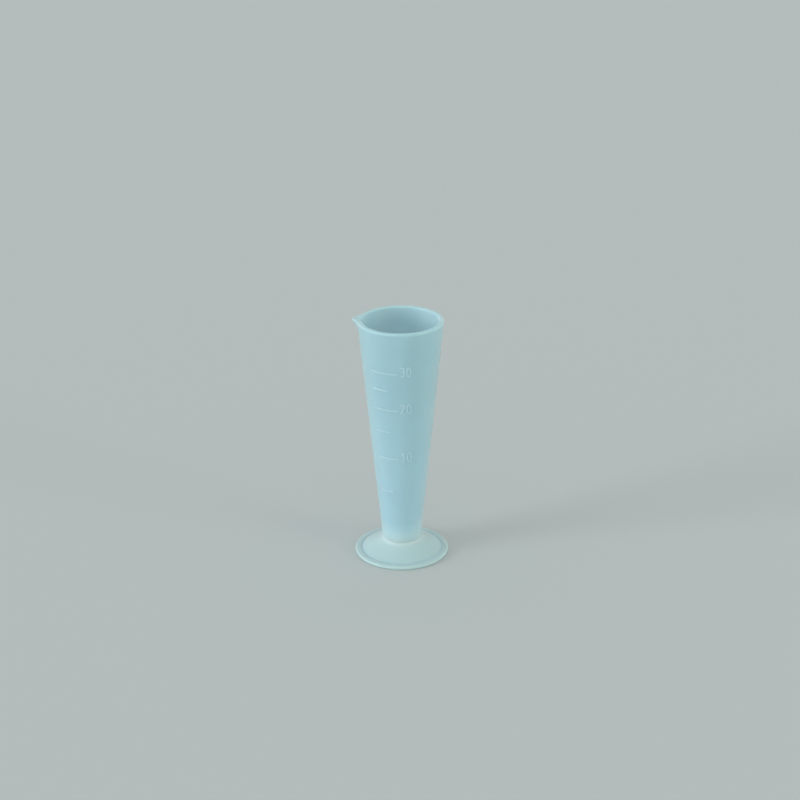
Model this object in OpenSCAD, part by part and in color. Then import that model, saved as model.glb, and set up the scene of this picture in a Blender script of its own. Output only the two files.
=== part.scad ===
// Conical measure for 30 ml in natural polypropylene: a graduated cup with a pouring beak, and
// a wide hollow foot whose socket holds the cup's spigot. All sizes are in millimetres.
// The cone's axis is Z, the foot stands on Z = 0, the beak points along -X and the graduation
// is on the front, which faces -Y.

/* [Cup] */
// Height of the rim above the table
total_h = 108; // [90:1:130]
// Outer diameter of the rim
rim_d = 36.6; // [30.5:0.1:44]
// Outer diameter of the cup at its shoulder, where it sits on the foot
shoulder_d = 16.8; // [14:0.1:20]
// Wall thickness at the rim
rim_wall = 2.2; // [1.8:0.1:2.8]
// Wall thickness just above the inner floor
floor_wall = 1.7; // [1.2:0.1:2.2]
// Height of the inner floor above the shoulder
floor_rise = 0; // [-0.5:0.1:2]
// Thickness of the floor
floor_t = 1.7; // [1.2:0.1:2.2]
// Rounding where the inner wall meets the floor
floor_round = 1.2; // [0.5:0.1:2]
// Bevel along both edges of the rim and of the beak's lip
lip_bevel = 0.5; // [0.2:0.1:0.6]

/* [Beak] */
// How far the beak stands out from the wall at the rim
beak_reach = 2.6; // [1.5:0.1:4]
// Depth below the rim at which the beak runs out into the wall
beak_drop = 7; // [5:0.5:10]
// Outer radius of the beak's nose
nose_r = 2; // [1.7:0.1:2.6]
// Wall thickness of the beak's two cheeks
cheek_wall = 2.7; // [2.5:0.1:3]
// Radius at the end of the channel between the cheeks
channel_r = 0.8; // [0.5:0.1:1.2]

/* [Graduation] */
// Volume between one line and the next, in millilitres
step_ml = 5; // [5:5:10]
// Volume at the top line, in millilitres
full_ml = 30; // [20:10:30]
// One line in how many is long
long_every = 2; // [1:1:3]
// Where the lines start, in degrees round from the middle of the front towards the beak
line_start = 41; // [20:1:60]
// Sweep of a long line, in degrees
long_sweep = 43; // [20:1:70]
// Sweep of a short line, in degrees
short_sweep = 28; // [10:1:50]
// Width of a line
line_w = 0.8; // [0.6:0.1:1]
// Height of a line above the wall
line_rise = 0.25; // [0.15:0.05:0.3]

/* [Foot] */
// Outer diameter of the foot
foot_d = 40.8; // [34:0.2:56]
// Height of the foot, up to the cup's shoulder
foot_h = 7.2; // [6:0.1:10]
// Height of the solid band round the foot's edge
band_h = 1.6; // [1.6:0.1:2]
// Width of that band, which the measure stands on
band_w = 2.7; // [2:0.1:4]
// Rounding of the band's outer edges
band_round = 0.7; // [0.3:0.1:0.7]
// How far the band stands above the foot's top where they meet
band_step = 0.25; // [0.1:0.05:0.3]
// Height of the neck that carries the cup's wall down to the foot's top
neck_h = 1.1; // [0.8:0.1:1.6]
// Rounding between the neck and the foot's top, as far as the neck leaves room for it
neck_round = 1.5; // [0.5:0.1:3]
// Upright thickness of the foot's shell
shell_t = 1.1; // [0.8:0.1:1.2]

/* [Joint] */
// Width of the shoulder that sits on the foot
seat_w = 1.8; // [1.4:0.1:2]
// Wall thickness of the spigot, which is hollow
spigot_wall = 1.4; // [1:0.1:1.8]
// Bevel that leads the spigot into its socket
lead_in = 0.4; // [0.2:0.1:0.5]
// Radial clearance between the spigot and its socket
socket_gap = 0.05; // [0.03:0.01:0.15]
// Clearance below the spigot, so that the shoulder seats first
end_gap = 0.3; // [0.2:0.1:0.5]
// Wall thickness of the boss round the socket, and of its end
boss_wall = 1.4; // [1:0.1:1.5]
// Clearance between the boss and the table
boss_lift = 0.8; // [0.5:0.1:1]
// Rounding between the boss and the foot's shell
boss_round = 0.8; // [0.4:0.1:1.2]

/* [Hidden] */

$fn = 128;
nose_facets = 48;
arc_steps = 10;
cubic_mm_per_ml = 1000;
front = -90;
// How far a raised line is rooted in the wall, and a cut runs past the rim
root = 0.5;
over = 1;
// How far inside the round wall the beak's cheeks start, so that they cross it
cheek_inset = 0.2;
// How far below the rim's bevel the beak's own starts, so that no four faces meet in one point
stagger = 0.1;

rim_r = rim_d / 2;
shoulder_r = shoulder_d / 2;
foot_r = foot_d / 2;
spigot_r = shoulder_r - seat_w;
bevel_z = total_h - lip_bevel;
beak_z = total_h - beak_drop;
beak_bevel_z = bevel_z - stagger;

// The beak's cheeks start just inside the rim's edge and touch its nose at a tangent
cheek_r = rim_r - cheek_inset;
cheek_lean = acos((cheek_r - nose_r) / (rim_r + beak_reach - nose_r));

// The outer wall leans out in one straight line, which the foot's neck carries on downwards
wall_lean = (rim_r - shoulder_r) / (total_h - foot_h);
function wall_r(z) = shoulder_r + wall_lean * (z - foot_h);

// The measured space is a cone that widens from floor_r at floor_z to mouth_r at the rim
floor_z = foot_h + floor_rise;
floor_r = wall_r(floor_z) - floor_wall;
mouth_r = rim_r - rim_wall;
space_lean = (mouth_r - floor_r) / (total_h - floor_z);
function space_r(z) = floor_r + space_lean * (z - floor_z);

// Height at which the cup holds ml: what a cone holds grows with the cube of its radius
function level(ml) =
    let (cube = pow(floor_r, 3) + 3 * space_lean * ml * cubic_mm_per_ml / PI)
    floor_z + (pow(cube, 1 / 3) - floor_r) / space_lean;

// Heights in the foot, from the table up: the boss, its socket's floor, and the neck
socket_z = boss_lift + boss_wall;
spigot_z = socket_z + end_gap;
neck_z = foot_h - neck_h;
edge_r = foot_r - band_w;
top_r = edge_r - band_step;
top_z = band_h - band_step;
flare = (neck_z - top_z) / (top_r - wall_r(neck_z));
function under_z(r) = top_z + flare * (top_r - r) - shell_t;

// The largest rounding between the foot's top and its neck that ends at the shoulder
neck_turn = atan(flare) + atan(1 / wall_lean) - 180;
neck_limit = neck_h / tan(abs(neck_turn) / 2);

// The corner b between a and c, as an arc of radius b[2] that touches both sides
function arc_at(a, b, c) =
    let (
        tip = [b[0], b[1]],
        side_a = [a[0], a[1]] - tip,
        side_c = [c[0], c[1]] - tip,
        u = side_a / norm(side_a),
        v = side_c / norm(side_c),
        half = acos(u * v) / 2,
        centre = tip + (u + v) / norm(u + v) * b[2] / sin(half),
        start = tip + u * b[2] / tan(half) - centre,
        end = tip + v * b[2] / tan(half) - centre,
        from = atan2(start[1], start[0]),
        turn = (atan2(end[1], end[0]) - from + 540) % 360 - 180
    )
    [for (i = [0 : arc_steps])
        let (at = from + turn * i / arc_steps)
        centre + b[2] * [cos(at), sin(at)]];

// A closed outline from corners [x, y, radius], each one sharp or rounded to its radius
function outline(corners) =
    let (n = len(corners))
    [for (i = [0 : n - 1])
        let (b = corners[i])
        each b[2] == 0 ? [[b[0], b[1]]] : arc_at(corners[(i + n - 1) % n], b, corners[(i + 1) % n])];

// Outside of the cup without its beak: spigot, shoulder, wall and bevelled rim
module cup_outside() {
    rotate_extrude()
        polygon([
            [0, spigot_z],
            [spigot_r - lead_in, spigot_z],
            [spigot_r, spigot_z + lead_in],
            [spigot_r, foot_h],
            [shoulder_r, foot_h],
            [wall_r(bevel_z), bevel_z],
            [rim_r - lip_bevel, total_h],
            [0, total_h],
        ]);
}

// The measured space: floor, rounded corner, inner wall and the bevel at the mouth
module cup_space() {
    rotate_extrude()
        polygon(outline([
            [0, floor_z, 0],
            [floor_r, floor_z, floor_round],
            [space_r(bevel_z), bevel_z, 0],
            [mouth_r + lip_bevel, total_h, 0],
            [mouth_r + lip_bevel, total_h + over, 0],
            [0, total_h + over, 0],
        ]));
}

// The hollow below the floor, which keeps the spigot as thin as the wall
module spigot_hollow() {
    translate([0, 0, spigot_z - over])
        cylinder(r = spigot_r - spigot_wall, h = floor_z - floor_t - spigot_z + over);
}

// Plan of a beak: two straight cheeks, which both lie cheek_r from the axis and lean alike, and
// a round nose that touches both. It points along -X and reaches back to the axis.
module beak_plan(cheek_r, nose) {
    side = [cos(cheek_lean), sin(cheek_lean)];
    nose_x = (cheek_r - nose) / side[0];
    mirror([1, 0]) {
        polygon([
            [0, 0],
            [cheek_r * side[0], -cheek_r * side[1]],
            [nose_x + nose * side[0], -nose * side[1]],
            [nose_x + nose * side[0], nose * side[1]],
            cheek_r * side,
        ]);
        translate([nose_x, 0]) circle(r = nose, $fn = nose_facets);
    }
}

// A plan drawn out from height low to height high, at the scale k_low below and k_high above
module drawn_out(low, k_low, high, k_high) {
    translate([0, 0, low])
        linear_extrude(height = high - low, scale = k_high / k_low)
            scale(k_low) children();
}

// Scale of a beak's plan at height z. It grows from k_root at the beak's root to 1 at the rim.
function rise(k_root, z) = k_root + (1 - k_root) * (z - beak_z) / beak_drop;

// Scale of the bevel along its top edge, which leaves it at beak_bevel_z and is k_lip at the rim
function bevel(k_root, k_lip, z) =
    k_lip + (k_lip - rise(k_root, beak_bevel_z)) * (z - total_h) / (total_h - beak_bevel_z);

// How far from the axis the nose of a plan lies
function tip_r(cheek_r, nose) = (cheek_r - nose) / cos(cheek_lean) + nose;

// Outside of the beak: its nose starts inside the wall, and its top edge is bevelled inwards
module beak_outside() {
    k_root = (wall_r(beak_z) - root) / tip_r(cheek_r, nose_r);
    k_lip = 1 - lip_bevel / tip_r(cheek_r, nose_r);
    intersection() {
        drawn_out(beak_z, k_root, total_h, 1) beak_plan(cheek_r, nose_r);
        drawn_out(beak_z, bevel(k_root, k_lip, beak_z), total_h, k_lip) beak_plan(cheek_r, nose_r);
    }
}

// The channel between its cheeks, bevelled outwards along the same edge and cut past the rim
module beak_channel() {
    inner_r = cheek_r - cheek_wall;
    k_root = (space_r(beak_z) - root) / tip_r(inner_r, channel_r);
    k_lip = 1 + lip_bevel / tip_r(inner_r, channel_r);
    top = total_h + over;
    drawn_out(beak_z, k_root, top, rise(k_root, top)) beak_plan(inner_r, channel_r);
    drawn_out(beak_z, bevel(k_root, k_lip, beak_z), top, bevel(k_root, k_lip, top))
        beak_plan(inner_r, channel_r);
}

// The raised line at a volume: part of a ring that follows the wall, with bevelled edges
module graduation_line(ml, sweep) {
    low = level(ml) - line_w / 2;
    high = level(ml) + line_w / 2;
    slope = line_rise / 2;
    rotate(front - line_start)
        rotate_extrude(angle = sweep)
            polygon([
                [wall_r(low) - root, low],
                [wall_r(low), low],
                [wall_r(low) + line_rise, low + slope],
                [wall_r(high) + line_rise, high - slope],
                [wall_r(high), high],
                [wall_r(high) - root, high],
            ]);
}

module graduated_cup() {
    color("#b4d2dc")
        difference() {
            union() {
                cup_outside();
                beak_outside();
                for (i = [1 : full_ml / step_ml])
                    graduation_line(i * step_ml, i % long_every == 0 ? long_sweep : short_sweep);
            }
            cup_space();
            beak_channel();
            spigot_hollow();
        }
}

// Band, top, neck, shoulder seat, socket, boss and the underside of the shell, in that order
module foot() {
    socket_r = spigot_r + socket_gap;
    boss_r = socket_r + boss_wall;
    color("#bfd8da")
        rotate_extrude()
            polygon(outline([
                [foot_r, 0, band_round],
                [foot_r, band_h, band_round],
                [edge_r, band_h, 0],
                [top_r, top_z, 0],
                [wall_r(neck_z), neck_z, min(neck_round, neck_limit)],
                [shoulder_r, foot_h, 0],
                [socket_r, foot_h, 0],
                [socket_r, socket_z, 0],
                [0, socket_z, 0],
                [0, boss_lift, 0],
                [boss_r, boss_lift, 0],
                [boss_r, under_z(boss_r), boss_round],
                [edge_r, under_z(edge_r), 0],
                [edge_r, 0, 0],
            ]));
}

graduated_cup();
foot();
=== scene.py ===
import math

import bpy
import numpy as np
from mathutils import Matrix, Vector


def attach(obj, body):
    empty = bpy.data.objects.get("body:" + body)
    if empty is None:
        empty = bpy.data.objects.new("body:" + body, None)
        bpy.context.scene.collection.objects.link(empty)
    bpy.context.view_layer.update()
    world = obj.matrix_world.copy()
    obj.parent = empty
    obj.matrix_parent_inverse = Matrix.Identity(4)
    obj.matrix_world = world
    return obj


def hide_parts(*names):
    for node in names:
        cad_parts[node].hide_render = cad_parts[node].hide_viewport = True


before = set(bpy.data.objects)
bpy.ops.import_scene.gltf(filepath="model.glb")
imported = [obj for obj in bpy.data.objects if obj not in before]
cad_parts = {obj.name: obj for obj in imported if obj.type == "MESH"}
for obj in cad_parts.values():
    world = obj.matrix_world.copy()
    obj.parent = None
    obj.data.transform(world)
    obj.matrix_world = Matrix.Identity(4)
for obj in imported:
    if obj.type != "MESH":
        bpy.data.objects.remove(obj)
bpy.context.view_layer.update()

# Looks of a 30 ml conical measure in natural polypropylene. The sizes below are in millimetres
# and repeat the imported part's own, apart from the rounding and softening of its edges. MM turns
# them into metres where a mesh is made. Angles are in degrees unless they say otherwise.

MM = 0.001
TURN = 2 * math.pi

# Cup: straight cone, wall and floor, and the rounding of its rim, of the beak's nose and of
# the edge that seats on the foot
TOTAL_H = 108.0
RIM_R = 18.3
SHOULDER_R = 8.4
FOOT_H = 7.2
RIM_WALL = 2.2
FLOOR_WALL = 1.7
FLOOR_T = 1.7
FLOOR_ROUND = 1.2
RIM_ROUND = 0.75
NOSE_ROUND = 0.45
SHOULDER_ROUND = 0.02

# Beak: a V in plan with a round nose, drawn in towards the wall below the rim. Where its wall
# is thin, the rounding of its edge takes up EDGE_SHARE of the wall at most.
BEAK_REACH = 2.6
BEAK_DROP = 7.0
NOSE_R = 2.0
CHEEK_WALL = 2.7
CHANNEL_R = 0.8
CHEEK_INSET = 0.2
BEAK_ROOT = 0.5
BEAK_DIP = 0.2
CHEEK_BLEND_OUT = 0.6
CHEEK_BLEND_IN = 0.9
EDGE_SHARE = 0.46

# Graduation: one raised line for each step, every second one long, with numerals beside it.
# A line falls off between two shares of its half width, a stroke between two of its width.
STEP_ML = 5
FULL_ML = 30
LONG_EVERY = 2
LINE_START = 41.0
LONG_SWEEP = 43.0
SHORT_SWEEP = 28.0
LINE_W = 0.8
LINE_RISE = 0.25
LINE_EDGE = (0.55, 1.1)
LINE_END = 0.6
NUMERAL_START = 5.5
NUMERAL_H = 4.6
NUMERAL_W = 2.1
NUMERAL_GAP = 0.45
NUMERAL_LIFT = 1.0
STROKE_W = 0.62
STROKE_RISE = 0.28
STROKE_EDGE = (0.2, 0.58)

# Foot: solid band with a slight step down to the straight conical top, and a short neck, of
# which the rounding below it takes up NECK_SHARE at most
FOOT_R = 20.4
BAND_H = 1.6
BAND_W = 2.7
BAND_ROUND = 0.72
BAND_STEP = 0.12
STEP_ROUND = 0.15
CREASE_ROUND = 0.19
NECK_H = 1.1
NECK_ROUND = 1.5
NECK_SHARE = 0.9
SHELL_T = 1.1

# Joint: the cup's hollow spigot in the foot's socket, and a film of air where the two seat
SEAT_W = 1.8
SPIGOT_WALL = 1.4
LEAD_IN = 0.4
SOCKET_GAP = 0.05
SEAT_FILM = 0.04
END_GAP = 0.3
BOSS_WALL = 1.4
BOSS_LIFT = 0.8
BOSS_ROUND = 0.8
BOSS_EDGE = 0.2
SOCKET_EDGE = 0.15

# How finely the surfaces are drawn: columns round the axis, rows up the walls, steps an arc.
# The walls' rows set in WALL_START above the shoulder and INNER_START above the floor's corner.
# Outside they keep LINE_CLEARANCE from the relief's rows, and a numeral's rows keep the share
# ROW_CLEARANCE of their step from a line's.
CUP_COLUMNS = 330
FOOT_COLUMNS = 256
WALL_ROWS = 30
WALL_START = 1.2
BEAK_ROWS = 25
INNER_ROWS = 22
INNER_START = 0.5
NUMERAL_ROW = 0.17
ROW_CLEARANCE = 0.45
LINE_CLEARANCE = 0.6
ARC_STEPS = 8
SEAT_STEPS = 5
SHARP_ANGLE = math.radians(38)

# Rows across a raised line, in half widths from its middle
LINE_ROWS = np.array([-1.25, -1.05, -0.85, -0.65, -0.35, 0, 0.35, 0.65, 0.85, 1.05, 1.25])

# Columns a degree: BACK_DENSITY all round, and more over the beak, the lines and the numerals.
# Each span says where it sets in, is full, fades and ends, in degrees from the beak, and how much.
BACK_DENSITY = 0.5
DENSE_SPANS = [(-36, -28, 28, 36, 1.6), (42, 48, 92, 98, 0.85), (90, 95, 118, 123, 2.3)]

# Looks: how far painted light turns the raised relief and the inner wall milkier, and how uneven
# the colour is
RELIEF_PAINTED_LIGHT = 0.85
INSIDE_PAINTED_LIGHT = 0.2
CLOUD_SHARE = 0.25

# Base colours: by height up the cup, with painted light paler at the seat and on the rim, and by
# radius on the foot, with painted light paler at the neck and painted shade a little darker and
# bluer in the step. The milk colours of cup and foot are those of their milkier places: the
# cloud, and on the cup also its painted light.
CUP_COLOURS_AND_PAINTED_LIGHT = [
    # The paler colours at the seat and at the rim are painted light
    (FOOT_H, (0.74, 0.91, 0.94)), (9.5, (0.68, 0.87, 0.91)), (13, (0.60, 0.815, 0.88)),
    (17, (0.52, 0.755, 0.84)), (60, (0.50, 0.74, 0.81)), (80, (0.48, 0.71, 0.775)),
    (106.6, (0.48, 0.71, 0.765)), (107.4, (0.54, 0.79, 0.83)),
    (TOTAL_H, (0.54, 0.79, 0.83)),
]
FOOT_COLOURS_WITH_PAINTED_LIGHT_AND_SHADE = [
    # The paler colour at the neck is painted light, and the darker, bluer one at 17.5 mm is painted
    # shade in the step
    (SHOULDER_R, (0.76, 0.92, 0.94)), (9.2, (0.66, 0.84, 0.86)), (11, (0.61, 0.81, 0.83)),
    (16, (0.60, 0.80, 0.82)), (17.5, (0.55, 0.77, 0.83)), (18.6, (0.59, 0.79, 0.81)),
    (FOOT_R, (0.60, 0.79, 0.80)),
]
CUP_MILK_AND_PAINTED_LIGHT = (0.64, 0.84, 0.91)
FOOT_MILK = (0.66, 0.82, 0.83)
FLOOR_COLOUR = (0.59, 0.635, 0.63, 1)
ROOM_COLOUR = (0.97, 1.0, 0.99, 1)
KEY_COLOUR = (0.92, 0.97, 1.0)
FILL_COLOUR = (0.93, 1.0, 0.87)

# The straight lines of the outer wall and of the measured space, and the heights of the joint
wall_lean = (RIM_R - SHOULDER_R) / (TOTAL_H - FOOT_H)
floor_r = SHOULDER_R - FLOOR_WALL
mouth_r = RIM_R - RIM_WALL
space_lean = (mouth_r - floor_r) / (TOTAL_H - FOOT_H)
spigot_r = SHOULDER_R - SEAT_W
hollow_r = spigot_r - SPIGOT_WALL
socket_z = BOSS_LIFT + BOSS_WALL
spigot_z = socket_z + END_GAP
beak_z = TOTAL_H - BEAK_DROP
cheek_r = RIM_R - CHEEK_INSET
cheek_lean = math.acos((cheek_r - NOSE_R) / (RIM_R + BEAK_REACH - NOSE_R))


def wall_r(z):
    """Radius of the outer wall at height z: one straight line from the shoulder to the rim."""
    return SHOULDER_R + wall_lean * (z - FOOT_H)


def space_r(z):
    """Radius of the measured space at height z: one straight line from the floor to the rim."""
    return floor_r + space_lean * (z - FOOT_H)


def level(ml):
    """Height at which the cup holds ml: what a cone holds grows with the cube of its radius."""
    cube = floor_r ** 3 + 3 * space_lean * ml * 1000 / math.pi
    return FOOT_H + (cube ** (1 / 3) - floor_r) / space_lean


def smooth_step(low, high, x):
    """0 below low, 1 above high, and 3t^2 - 2t^3 of the way t between them."""
    t = np.clip((x - low) / (high - low), 0, 1)
    return t * t * (3 - 2 * t)


def smooth_max(a, b, width):
    """The larger of a and b, with a parabola across the crease where they differ by under width."""
    h = np.clip(0.5 + 0.5 * (b - a) / width, 0, 1)
    return a * (1 - h) + b * h + width * h * (1 - h)


def rounded_corner(before, corner, after, radius, steps):
    """The arc of that radius that touches the two sides of a corner, as steps + 1 points."""
    corner = np.array(corner, float)
    u = np.array(before, float) - corner
    v = np.array(after, float) - corner
    u /= np.linalg.norm(u)
    v /= np.linalg.norm(v)
    half = math.acos(np.clip(u @ v, -1, 1)) / 2
    centre = corner + (u + v) / np.linalg.norm(u + v) * radius / math.sin(half)
    first = corner + u * radius / math.tan(half) - centre
    last = corner + v * radius / math.tan(half) - centre
    start = math.atan2(first[1], first[0])
    turn = (math.atan2(last[1], last[0]) - start + 3 * math.pi) % TURN - math.pi
    at = start + turn * np.linspace(0, 1, steps + 1)
    return centre + radius * np.stack([np.cos(at), np.sin(at)], 1)


def put_mesh(name, points, faces):
    """A mesh object of that name from points in millimetres and faces as lists of indices."""
    mesh = bpy.data.meshes.new(name)
    mesh.from_pydata((np.asarray(points) * MM).tolist(), [], faces)
    mesh.update()
    mesh.shade_smooth()
    mesh.set_sharp_from_angle(angle=SHARP_ANGLE)
    piece = bpy.data.objects.new(name, mesh)
    bpy.context.scene.collection.objects.link(piece)
    return piece


def turned_grid(rings, low_pole, high_pole):
    """A closed surface of rings round the axis, one pole below the first and one inside the last.

    rings is rows x columns x 3. The profile runs from the low pole outwards and up, and each
    face goes forwards along its ring and then on along the profile, so that it faces outwards.
    """
    rows, columns = rings.shape[:2]
    grid = np.arange(rows * columns).reshape(rows, columns) + 1
    ahead = np.roll(grid, -1, axis=1)
    quads = np.stack([grid[:-1], ahead[:-1], ahead[1:], grid[1:]], -1).reshape(-1, 4)
    top = rows * columns + 1
    low_fan = np.stack([np.zeros(columns, int), ahead[0], grid[0]], -1)
    high_fan = np.stack([np.full(columns, top), grid[-1], ahead[-1]], -1)
    points = np.concatenate([[low_pole], rings.reshape(-1, 3), [high_pole]])
    return points, quads.tolist() + low_fan.tolist() + high_fan.tolist()


def beak_radius(offset, distance, nose):
    """Distance from the axis to the beak's plan, at an angle offset from the beak's direction.

    The plan is two straight cheeks and a circle of radius nose that touches both. Each cheek
    lies that distance from the axis, on a normal that leans by cheek_lean from the beak. Past
    the normal the plan draws in, so that the round wall takes over.
    """
    nose_x = (distance - nose) / math.cos(cheek_lean)
    touch = math.atan2(nose * math.sin(cheek_lean), nose_x + nose * math.cos(cheek_lean))
    a = np.abs(offset)
    inside = np.maximum(nose ** 2 - (nose_x * np.sin(a)) ** 2, 0)
    on_nose = nose_x * np.cos(a) + np.sqrt(inside)
    on_cheek = distance / np.cos(np.clip(cheek_lean - a, 0, cheek_lean))
    drawn_in = distance * np.cos(np.clip(a - cheek_lean, 0, 1))
    return np.where(a < touch, on_nose, np.where(a < cheek_lean, on_cheek, drawn_in))


def reach_of(distance, nose):
    """How far from the axis the nose of such a plan lies."""
    return (distance - nose) / math.cos(cheek_lean) + nose


def beak_scale(z, root_r, reach):
    """How much of its full size the beak's plan has at height z: a straight rise to 1."""
    root = root_r / reach
    return root + (1 - root) * np.clip((z - beak_z) / BEAK_DROP, 0, 1)


def outer_radius(offset, z):
    """The outer wall with its beak: the larger of the round wall and the beak's scaled plan."""
    scale = beak_scale(z, wall_r(beak_z) - BEAK_ROOT, reach_of(cheek_r, NOSE_R))
    beak = np.where(z > beak_z, scale * beak_radius(offset, cheek_r, NOSE_R), 0)
    return smooth_max(wall_r(z), beak, CHEEK_BLEND_OUT)


def inner_radius(offset, z):
    """The inner wall with the beak's channel: the larger of the round space and its plan."""
    inner_cheek = cheek_r - CHEEK_WALL
    scale = beak_scale(z, space_r(beak_z) - BEAK_ROOT, reach_of(inner_cheek, CHANNEL_R))
    beak = np.where(z > beak_z, scale * beak_radius(offset, inner_cheek, CHANNEL_R), 0)
    return smooth_max(space_r(z), beak, CHEEK_BLEND_IN)


def crowded_angles(count):
    """Angles round the axis, measured from the beak, for count columns.

    A density says how many columns a degree gets: few at the back, more along the lines, most
    at the beak and the numerals. The angles are where its running total reaches equal steps.
    """
    degrees = np.linspace(-180, 180, 7201)
    density = BACK_DENSITY + 0 * degrees
    for start, full, fade, end, most in DENSE_SPANS:
        span = smooth_step(start, full, degrees) * (1 - smooth_step(fade, end, degrees))
        density = np.maximum(density, most * span)
    total = np.concatenate([[0], np.cumsum((density[1:] + density[:-1]) / 2)])
    steps = np.arange(count) / count * total[-1]
    return np.radians(np.interp(steps, total, degrees))


def relief_rows():
    """Heights of the rows that draw the lines and the numerals: close together across each."""
    heights = []
    for number in range(1, FULL_ML // STEP_ML + 1):
        middle = level(number * STEP_ML)
        rows = middle + LINE_ROWS * LINE_W / 2
        if number % LONG_EVERY == 0:
            low = middle + NUMERAL_LIFT - NUMERAL_H / 2 - NUMERAL_ROW
            high = middle + NUMERAL_LIFT + NUMERAL_H / 2 + NUMERAL_ROW
            fill = np.arange(low, high, NUMERAL_ROW)
            clear = np.min(np.abs(fill[:, None] - rows[None]), 1) > NUMERAL_ROW * ROW_CLEARANCE
            rows = np.concatenate([rows, fill[clear]])
        heights.append(rows)
    return np.concatenate(heights)


def line_relief(azimuth, z):
    """Height of the raised lines above the wall: a rounded band along an arc for each step."""
    relief = np.zeros(np.broadcast(azimuth, z).shape)
    for number in range(1, FULL_ML // STEP_ML + 1):
        sweep = LONG_SWEEP if number % LONG_EVERY == 0 else SHORT_SWEEP
        off = np.abs(z - level(number * STEP_ML)) / (LINE_W / 2)
        across = 1 - smooth_step(*LINE_EDGE, off)
        first, last = -LINE_START, -LINE_START + sweep
        along = smooth_step(first - LINE_END, first + LINE_END, azimuth)
        along = along * (1 - smooth_step(last - LINE_END, last + LINE_END, azimuth))
        relief = np.maximum(relief, LINE_RISE * across * along)
    return relief


def ellipse_stroke(cx, cy, rx, ry, start, end, steps):
    """Points of an ellipse's arc between two angles in degrees, in the numeral's own plane."""
    at = np.radians(np.linspace(start, end, steps))
    return np.stack([cx + rx * np.cos(at), cy + ry * np.sin(at)], 1)


def digit_strokes(digit):
    """The middle lines of a digit's strokes, in a box NUMERAL_W wide and NUMERAL_H high."""
    m = STROKE_W / 2
    w, h = NUMERAL_W, NUMERAL_H
    cx, rx = w / 2, w / 2 - m
    if digit == "0":
        return [ellipse_stroke(cx, h / 2, rx, h / 2 - m, 0, 360, 33)]
    if digit == "1":
        top = (cx + 0.25, h - m)
        return [np.array([(cx + 0.25, m), top, (cx - 0.5, h - m - 0.75)])]
    if digit == "2":
        bow = ellipse_stroke(cx, h - m - rx, rx, rx, 165, -35, 15)
        return [np.concatenate([bow, [(m, m), (w - m, m)]])]
    if digit == "3":
        upper_ry = (h - 2 * m) * 0.24
        lower_ry = (h - 2 * m) / 2 - upper_ry
        upper = ellipse_stroke(cx - 0.05, h - m - upper_ry, rx * 0.9, upper_ry, 150, -90, 15)
        lower = ellipse_stroke(cx - 0.05, m + lower_ry, rx, lower_ry, 90, -150, 17)
        return [upper, lower]
    raise ValueError(digit)


def distance_to_stroke(s, h, points):
    """Distance from each (s, h) to a line of straight pieces: the least over all its pieces."""
    place = np.stack([s, h], -1)[:, None]
    start, run = points[:-1][None], np.diff(points, axis=0)[None]
    share = np.clip(((place - start) * run).sum(-1) / (run ** 2).sum(-1), 0, 1)
    return np.linalg.norm(place - start - share[..., None] * run, axis=-1).min(1)


def numeral_relief(azimuth, z):
    """Height of the raised numerals above the wall: a rounded ridge along each digit's strokes."""
    azimuth, z = np.broadcast_arrays(azimuth, z)
    relief = np.zeros(z.shape)
    for number in range(LONG_EVERY, FULL_ML // STEP_ML + 1, LONG_EVERY):
        middle = level(number * STEP_ML)
        s = np.radians(azimuth - NUMERAL_START) * wall_r(middle)
        h = z - middle - NUMERAL_LIFT + NUMERAL_H / 2
        near = ((s > -STROKE_W) & (s < 2 * NUMERAL_W + NUMERAL_GAP + STROKE_W)
                & (h > -STROKE_W) & (h < NUMERAL_H + STROKE_W))
        off = np.full(near.sum(), NUMERAL_H)
        for position, digit in enumerate(str(number * STEP_ML)):
            shift = position * (NUMERAL_W + NUMERAL_GAP)
            for points in digit_strokes(digit):
                off = np.minimum(off, distance_to_stroke(s[near] - shift, h[near], points))
        ridge = STROKE_RISE * (1 - smooth_step(*STROKE_EDGE, off / STROKE_W))
        relief[near] = np.maximum(relief[near], ridge)
    return relief


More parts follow.
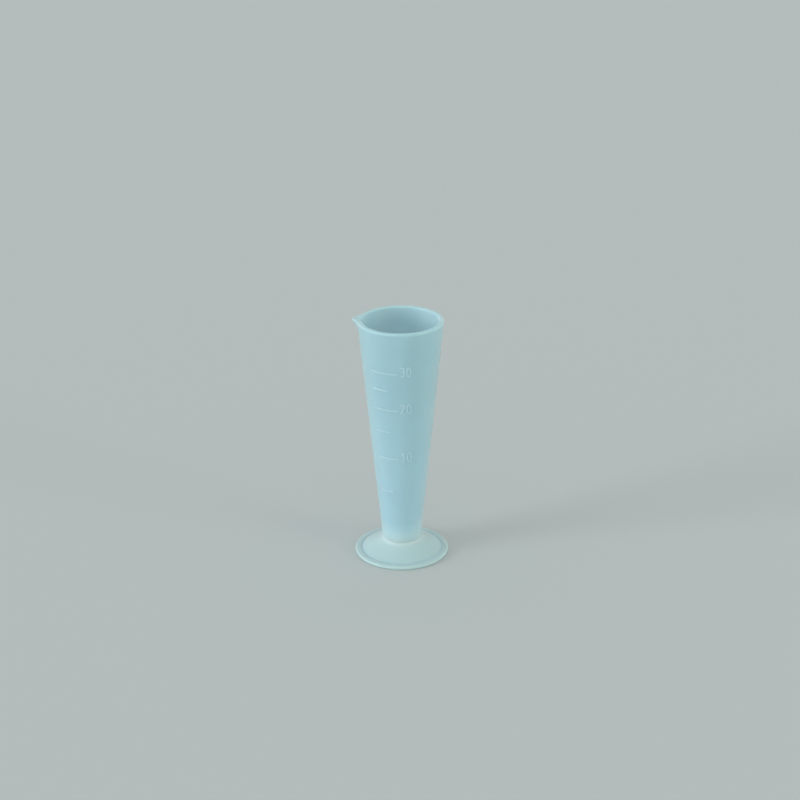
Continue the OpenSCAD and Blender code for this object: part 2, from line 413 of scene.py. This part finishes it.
def cup_rings():
    """Rings of the cup, from the spigot's hollow out, up the wall, over the rim and down inside.

    Outside and inside walls follow outer_radius and inner_radius. Near the rim their heights
    draw down with the beak's dip, and two quarter circles join them across the rim. Beside the
    rings comes the share of painted light at each point, which turns it milkier: most on the
    relief, and evenly so inside.
    """
    offset = crowded_angles(CUP_COLUMNS)
    angle = math.pi + offset
    azimuth = (np.degrees(offset) - 90 + 180) % 360 - 180

    # Below the shoulder: the hollow, the spigot and its bevel, plain turned rings
    under = [
        (hollow_r * 0.5, FOOT_H - FLOOR_T), (hollow_r, FOOT_H - FLOOR_T),
        (hollow_r, spigot_z), (spigot_r - LEAD_IN, spigot_z),
        (spigot_r, spigot_z + LEAD_IN), (spigot_r, FOOT_H),
    ]
    shoulder = rounded_corner((spigot_r, FOOT_H), (SHOULDER_R, FOOT_H),
                              (RIM_R, TOTAL_H), SHOULDER_ROUND, SEAT_STEPS)
    plain = np.concatenate([under, shoulder])

    # How far the beak stands out at each angle, as a share, and how far the rim dips there
    share = np.clip((outer_radius(offset, TOTAL_H) - RIM_R) / BEAK_REACH, 0, 1)
    top = TOTAL_H - BEAK_DIP * smooth_step(0, 1, share)
    thick = outer_radius(offset, top) - inner_radius(offset, top)
    edge = np.minimum(RIM_ROUND + (NOSE_ROUND - RIM_ROUND) * share, EDGE_SHARE * thick)

    # Outer wall: rows spread over the height, at the lines and close together at the beak
    wall_top = TOTAL_H - RIM_ROUND
    spread = np.linspace(FOOT_H + WALL_START, beak_z, WALL_ROWS)
    lines = relief_rows()
    near = np.min(np.abs(spread[:, None] - lines[None]), 1)
    at_beak = np.linspace(beak_z, wall_top, BEAK_ROWS)
    rows = np.concatenate([spread[near > LINE_CLEARANCE], lines, at_beak[1:]])
    rows = np.unique(np.round(rows, 5))[:, None]
    pull = (top - edge - wall_top) * smooth_step(beak_z, wall_top, rows)
    outer_z = rows + pull
    relief = np.maximum(line_relief(azimuth, outer_z), numeral_relief(azimuth, outer_z))
    outer_r = outer_radius(offset, outer_z) + relief

    # Rim: a quarter circle out and a quarter circle in, with what is left of the wall between
    bend = np.radians(np.linspace(0, 90, ARC_STEPS + 1))[:, None]
    rim_out = outer_radius(offset, top - edge)
    rim_in = inner_radius(offset, top - edge)
    crown_out_r = rim_out - edge + edge * np.cos(bend)
    crown_in_r = rim_in + edge - edge * np.sin(bend)
    crown_out_z = top - edge + edge * np.sin(bend)
    crown_in_z = top - edge + edge * np.cos(bend)

    # Inner wall from the rim down, and the rounded corner at the floor
    corner = rounded_corner((mouth_r, TOTAL_H), (floor_r, FOOT_H), (0, FOOT_H), FLOOR_ROUND,
                            ARC_STEPS)
    fall = np.concatenate([np.linspace(wall_top, beak_z, BEAK_ROWS)[:-1],
                           np.linspace(beak_z, corner[0, 1] + INNER_START, INNER_ROWS)])[:, None]
    inner_z = fall + (top - edge - wall_top) * smooth_step(beak_z, wall_top, fall)
    inner_r = inner_radius(offset, inner_z)
    floor = np.concatenate([corner, [(floor_r * 0.55, FOOT_H), (floor_r * 0.2, FOOT_H)]])

    flat = np.ones_like(offset)
    radius = np.concatenate([plain[:, :1] * flat, outer_r, crown_out_r[1:], crown_in_r[:-1],
                             inner_r, floor[:, :1] * flat])
    height = np.concatenate([plain[:, 1:] * flat, outer_z, crown_out_z[1:], crown_in_z[:-1],
                             inner_z, floor[:, 1:] * flat])
    # Painted light: the relief is turned milkier, and the inner wall too, fading in over the rim's
    # inner arc and even down the wall and over the floor
    raised = RELIEF_PAINTED_LIGHT * np.clip(relief / LINE_RISE, 0, 1)
    turning_in = INSIDE_PAINTED_LIGHT * np.sin(bend[::-1]) ** 2 * flat
    milk_and_painted_light = np.concatenate([0 * plain[:, :1] * flat, raised, 0 * crown_out_r[1:],
                            turning_in[1:], 0 * inner_r + INSIDE_PAINTED_LIGHT,
                            INSIDE_PAINTED_LIGHT * np.ones_like(floor[:, :1]) * flat])
    return np.stack([radius * np.cos(angle), radius * np.sin(angle), height], -1), milk_and_painted_light


def mark_points(piece, name, shares):
    """Stores a share from 0 to 1 at each point of a piece, for its material to read."""
    layer = piece.data.attributes.new(name, "FLOAT", "POINT")
    layer.data.foreach_set("value", shares.astype(np.float32))


def make_cup():
    """The cup with its raised lines and numerals, one moulding."""
    rings, milk_and_painted_light = cup_rings()
    grid = turned_grid(rings, (0, 0, FOOT_H - FLOOR_T), (0, 0, FOOT_H))
    piece = put_mesh("graduated_cup_moulding", *grid)
    # The shares of painted light are stored on the points for the material to read
    mark_points(piece, "milk_and_painted_light", np.concatenate([[0], milk_and_painted_light.ravel(), [INSIDE_PAINTED_LIGHT]]))
    return piece


def make_foot():
    """The foot: its outline turned about the axis, with every outer corner an arc."""
    neck_z = FOOT_H - NECK_H
    seat_z = FOOT_H - SEAT_FILM
    edge_r = FOOT_R - BAND_W
    top_r, top_z = edge_r - BAND_STEP, BAND_H - BAND_STEP
    flare = (neck_z - top_z) / (top_r - wall_r(neck_z))
    socket_r = spigot_r + SOCKET_GAP
    boss_r = socket_r + BOSS_WALL
    under_boss = top_z + flare * (top_r - boss_r) - SHELL_T
    under_edge = top_z + flare * (top_r - edge_r) - SHELL_T
    neck_turn = math.atan(flare) + math.atan(1 / wall_lean) - math.pi
    neck_round = min(NECK_ROUND, NECK_H / math.tan(abs(neck_turn) / 2) * NECK_SHARE)
    corners = [
        (boss_r, BOSS_LIFT, BOSS_EDGE), (boss_r, under_boss, BOSS_ROUND), (edge_r, under_edge, 0),
        (edge_r, 0, 0), (FOOT_R, 0, BAND_ROUND), (FOOT_R, BAND_H, BAND_ROUND),
        (edge_r, BAND_H, STEP_ROUND), (top_r, top_z, CREASE_ROUND),
        (wall_r(neck_z), neck_z, neck_round),
        (wall_r(seat_z), seat_z, SHOULDER_ROUND), (socket_r, seat_z, SOCKET_EDGE),
        (socket_r, socket_z, BOSS_EDGE),
    ]
    ends = [(boss_r * 0.5, BOSS_LIFT), (socket_r * 0.5, socket_z)]
    chain = [ends[0]] + [c[:2] for c in corners] + [ends[1]]
    outline = [[ends[0]]]
    for i, (r, z, radius) in enumerate(corners):
        if radius:
            outline.append(rounded_corner(chain[i], (r, z), chain[i + 2], radius, ARC_STEPS))
        else:
            outline.append([(r, z)])
    outline.append([ends[1]])
    outline = np.concatenate(outline)
    angle = np.arange(FOOT_COLUMNS) / FOOT_COLUMNS * TURN
    rings = np.stack([outline[:, :1] * np.cos(angle), outline[:, :1] * np.sin(angle),
                      outline[:, 1:] + 0 * angle], -1)
    return put_mesh("foot_moulding", *turned_grid(rings, (0, 0, BOSS_LIFT), (0, 0, socket_z)))


def node_at(tree, kind, place, **values):
    """A node of that kind, with its input sockets set by name."""
    node = tree.nodes.new(kind)
    node.location = place
    for key, value in values.items():
        node.inputs[key.replace("_", " ")].default_value = value
    return node


def zone_colour(tree, place, along, zones):
    """The base colour by zones along one way, and a smooth mix between neighbouring zones.

    along is "height", or "radius" for the distance from the axis. zones is a list of a size in
    millimetres and the colour there, with the sizes rising.
    """
    split = node_at(tree, "ShaderNodeSeparateXYZ", (-1500, 400))
    tree.links.new(place.outputs["Object"], split.inputs["Vector"])
    size = split.outputs["Z"]
    if along == "radius":
        flat = node_at(tree, "ShaderNodeCombineXYZ", (-1300, 400))
        length = node_at(tree, "ShaderNodeVectorMath", (-1100, 400))
        length.operation = "LENGTH"
        tree.links.new(split.outputs["X"], flat.inputs["X"])
        tree.links.new(split.outputs["Y"], flat.inputs["Y"])
        tree.links.new(flat.outputs["Vector"], length.inputs[0])
        size = length.outputs["Value"]
    first, last = zones[0][0], zones[-1][0]
    share = node_at(tree, "ShaderNodeMapRange", (-900, 400),
                    From_Min=first * MM, From_Max=last * MM)
    tree.links.new(size, share.inputs["Value"])
    ramp = tree.nodes.new("ShaderNodeValToRGB")
    ramp.location = (-700, 400)
    ramp.color_ramp.interpolation = "LINEAR"
    while len(ramp.color_ramp.elements) < len(zones):
        ramp.color_ramp.elements.new(0.5)
    for element, (at, colour) in zip(ramp.color_ramp.elements, zones):
        element.position = (at - first) / (last - first)
        element.color = (*colour, 1)
    tree.links.new(share.outputs["Result"], ramp.inputs["Fac"])
    return ramp.outputs["Color"]


def mix_colour(tree, spot, factor, below, above):
    """A colour mix of two sockets or colours by a factor's socket."""
    mix = node_at(tree, "ShaderNodeMix", spot)
    mix.data_type = "RGBA"
    tree.links.new(factor, mix.inputs["Factor"])
    for socket, colour in ((mix.inputs["A"], below), (mix.inputs["B"], above)):
        if isinstance(colour, tuple):
            socket.default_value = (*colour, 1)
        else:
            tree.links.new(colour, socket)
    return mix.outputs["Result"]


def moulded_plastic(name, along, zones, milk_and_painted_light, roughness, alpha, scatter_mm, sheen):
    """Natural polypropylene: light scatters inside it, and its satin skin has a fine ripple.

    The base colour follows the zones, some of which are painted light and shade. A slow cloud
    makes it a little uneven, and the stored share of painted light turns it to the milk colour
    on the thicker raised relief and on the inner wall.
    """
    material = bpy.data.materials.new(name)
    material.use_nodes = True
    tree = material.node_tree
    shader = tree.nodes["Principled BSDF"]
    shader.inputs["IOR"].default_value = 1.49
    shader.inputs["Alpha"].default_value = alpha
    shader.inputs["Subsurface Weight"].default_value = 1.0
    shader.inputs["Subsurface Radius"].default_value = (1.0, 1.0, 1.0)
    shader.inputs["Subsurface Scale"].default_value = scatter_mm * MM
    shader.inputs["Specular IOR Level"].default_value = 0.5
    shader.inputs["Sheen Weight"].default_value = sheen
    shader.inputs["Sheen Roughness"].default_value = 0.35

    place = node_at(tree, "ShaderNodeTexCoord", (-1700, 0))
    plain = zone_colour(tree, place, along, zones)
    cloud = node_at(tree, "ShaderNodeTexNoise", (-900, 100), Scale=85.0, Detail=3.0)
    faint = node_at(tree, "ShaderNodeMapRange", (-700, 100), To_Min=0.0, To_Max=CLOUD_SHARE)
    tree.links.new(place.outputs["Object"], cloud.inputs["Vector"])
    tree.links.new(cloud.outputs["Fac"], faint.inputs["Value"])
    cloudy = mix_colour(tree, (-450, 300), faint.outputs["Result"], plain, milk_and_painted_light)
    # Painted light: the stored share turns the colour to the milk colour on the relief and the
    # inner wall
    thick = node_at(tree, "ShaderNodeAttribute", (-450, 100))
    thick.attribute_name = "milk_and_painted_light"
    colour = mix_colour(tree, (-250, 200), thick.outputs["Fac"], cloudy, milk_and_painted_light)
    tree.links.new(colour, shader.inputs["Base Color"])

    skin = node_at(tree, "ShaderNodeTexNoise", (-900, -100), Scale=260.0, Detail=2.0)
    gloss = node_at(tree, "ShaderNodeMapRange", (-500, -100),
                    To_Min=roughness - 0.04, To_Max=roughness + 0.05)
    tree.links.new(place.outputs["Object"], skin.inputs["Vector"])
    tree.links.new(skin.outputs["Fac"], gloss.inputs["Value"])
    tree.links.new(gloss.outputs["Result"], shader.inputs["Roughness"])

    ripple = node_at(tree, "ShaderNodeTexNoise", (-900, -400), Scale=900.0, Detail=3.0)
    bump = node_at(tree, "ShaderNodeBump", (-500, -400), Strength=0.06, Distance=0.0002)
    tree.links.new(place.outputs["Object"], ripple.inputs["Vector"])
    tree.links.new(ripple.outputs["Fac"], bump.inputs["Height"])
    tree.links.new(bump.outputs["Normal"], shader.inputs["Normal"])
    return material


def floor_finish():
    """A plain pale floor with no shine."""
    material = bpy.data.materials.new("pale_floor")
    material.use_nodes = True
    shader = material.node_tree.nodes["Principled BSDF"]
    shader.inputs["Base Color"].default_value = FLOOR_COLOUR
    shader.inputs["Roughness"].default_value = 0.9
    shader.inputs["Specular IOR Level"].default_value = 0.15
    return material


def make_floor():
    """A large flat floor at height 0."""
    half = 4.0
    mesh = bpy.data.meshes.new("studio_floor")
    corners = [(-half, -half, 0), (half, -half, 0), (half, half, 0), (-half, half, 0)]
    mesh.from_pydata(corners, [], [(0, 1, 2, 3)])
    piece = bpy.data.objects.new("studio_floor", mesh)
    bpy.context.scene.collection.objects.link(piece)
    mesh.materials.append(floor_finish())


def soft_sun(name, azimuth, elevation, strength, colour):
    """Even, soft light from far away, which leaves no hot spot on the floor.

    azimuth is in degrees round from the front, to the left if negative, and elevation is in
    degrees above the floor.
    """
    data = bpy.data.lights.new(name, "SUN")
    data.angle = math.radians(25)
    data.energy = strength
    data.color = colour
    lamp = bpy.data.objects.new(name, data)
    turn, rise = math.radians(azimuth), math.radians(elevation)
    source = Vector((math.sin(turn) * math.cos(rise), -math.cos(turn) * math.cos(rise),
                     math.sin(rise)))
    lamp.rotation_euler = (-source).to_track_quat("-Z", "Y").to_euler()
    lamp.location = source
    bpy.context.scene.collection.objects.link(lamp)


def make_lights():
    """A pale room, a soft light from the left in front and a weaker one from the right."""
    world = bpy.data.worlds.new("pale_room")
    world.use_nodes = True
    background = world.node_tree.nodes["Background"]
    background.inputs["Color"].default_value = ROOM_COLOUR
    background.inputs["Strength"].default_value = 0.66
    bpy.context.scene.world = world
    soft_sun("key_light", azimuth=-62, elevation=11, strength=1.66, colour=KEY_COLOUR)
    soft_sun("fill_light", azimuth=68, elevation=5, strength=1.02, colour=FILL_COLOUR)


def make_camera():
    """A long lens that looks down at the measure from in front, a little to the right.

    Its place is in metres, and its tilt and roll are in radians.
    """
    distance, height, aside = 0.70677, 0.37012, -0.000463
    tilt, roll, turn = 0.399973, -0.00576352, math.radians(7)
    forward = Vector((0, math.cos(tilt), -math.sin(tilt)))
    right = Vector((1, 0, 0))
    up = Vector((0, math.sin(tilt), math.cos(tilt)))
    level_right = math.cos(roll) * right + math.sin(roll) * up
    level_up = -math.sin(roll) * right + math.cos(roll) * up
    spin = Matrix.Rotation(turn, 3, "Z")
    axes = Matrix((spin @ level_right, spin @ level_up, spin @ -forward)).transposed()
    data = bpy.data.cameras.new("camera")
    data.sensor_fit = "HORIZONTAL"
    data.sensor_width = 36.0
    data.lens = 80.894
    data.clip_start = 0.01
    data.clip_end = 50
    camera = bpy.data.objects.new("camera", data)
    place = Matrix.Translation(spin @ Vector((aside, -distance, height)))
    camera.matrix_world = place @ axes.to_4x4()
    bpy.context.scene.collection.objects.link(camera)
    bpy.context.scene.camera = camera


make_camera()
make_floor()
make_lights()

cup = make_cup()
cup.data.materials.append(moulded_plastic(
    "natural_polypropylene", "height", CUP_COLOURS_AND_PAINTED_LIGHT, milk_and_painted_light=CUP_MILK_AND_PAINTED_LIGHT, roughness=0.3, alpha=0.65,
    scatter_mm=1.2, sheen=0.2))
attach(cup, "root")
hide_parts("graduated_cup")

foot = make_foot()
foot.data.materials.append(moulded_plastic(
    "natural_polypropylene_milky", "radius", FOOT_COLOURS_WITH_PAINTED_LIGHT_AND_SHADE, milk_and_painted_light=FOOT_MILK, roughness=0.34,
    alpha=0.8, scatter_mm=0.8, sheen=0.2))
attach(foot, "root")
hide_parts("foot")

view = bpy.context.scene.view_settings
view.view_transform = "Standard"
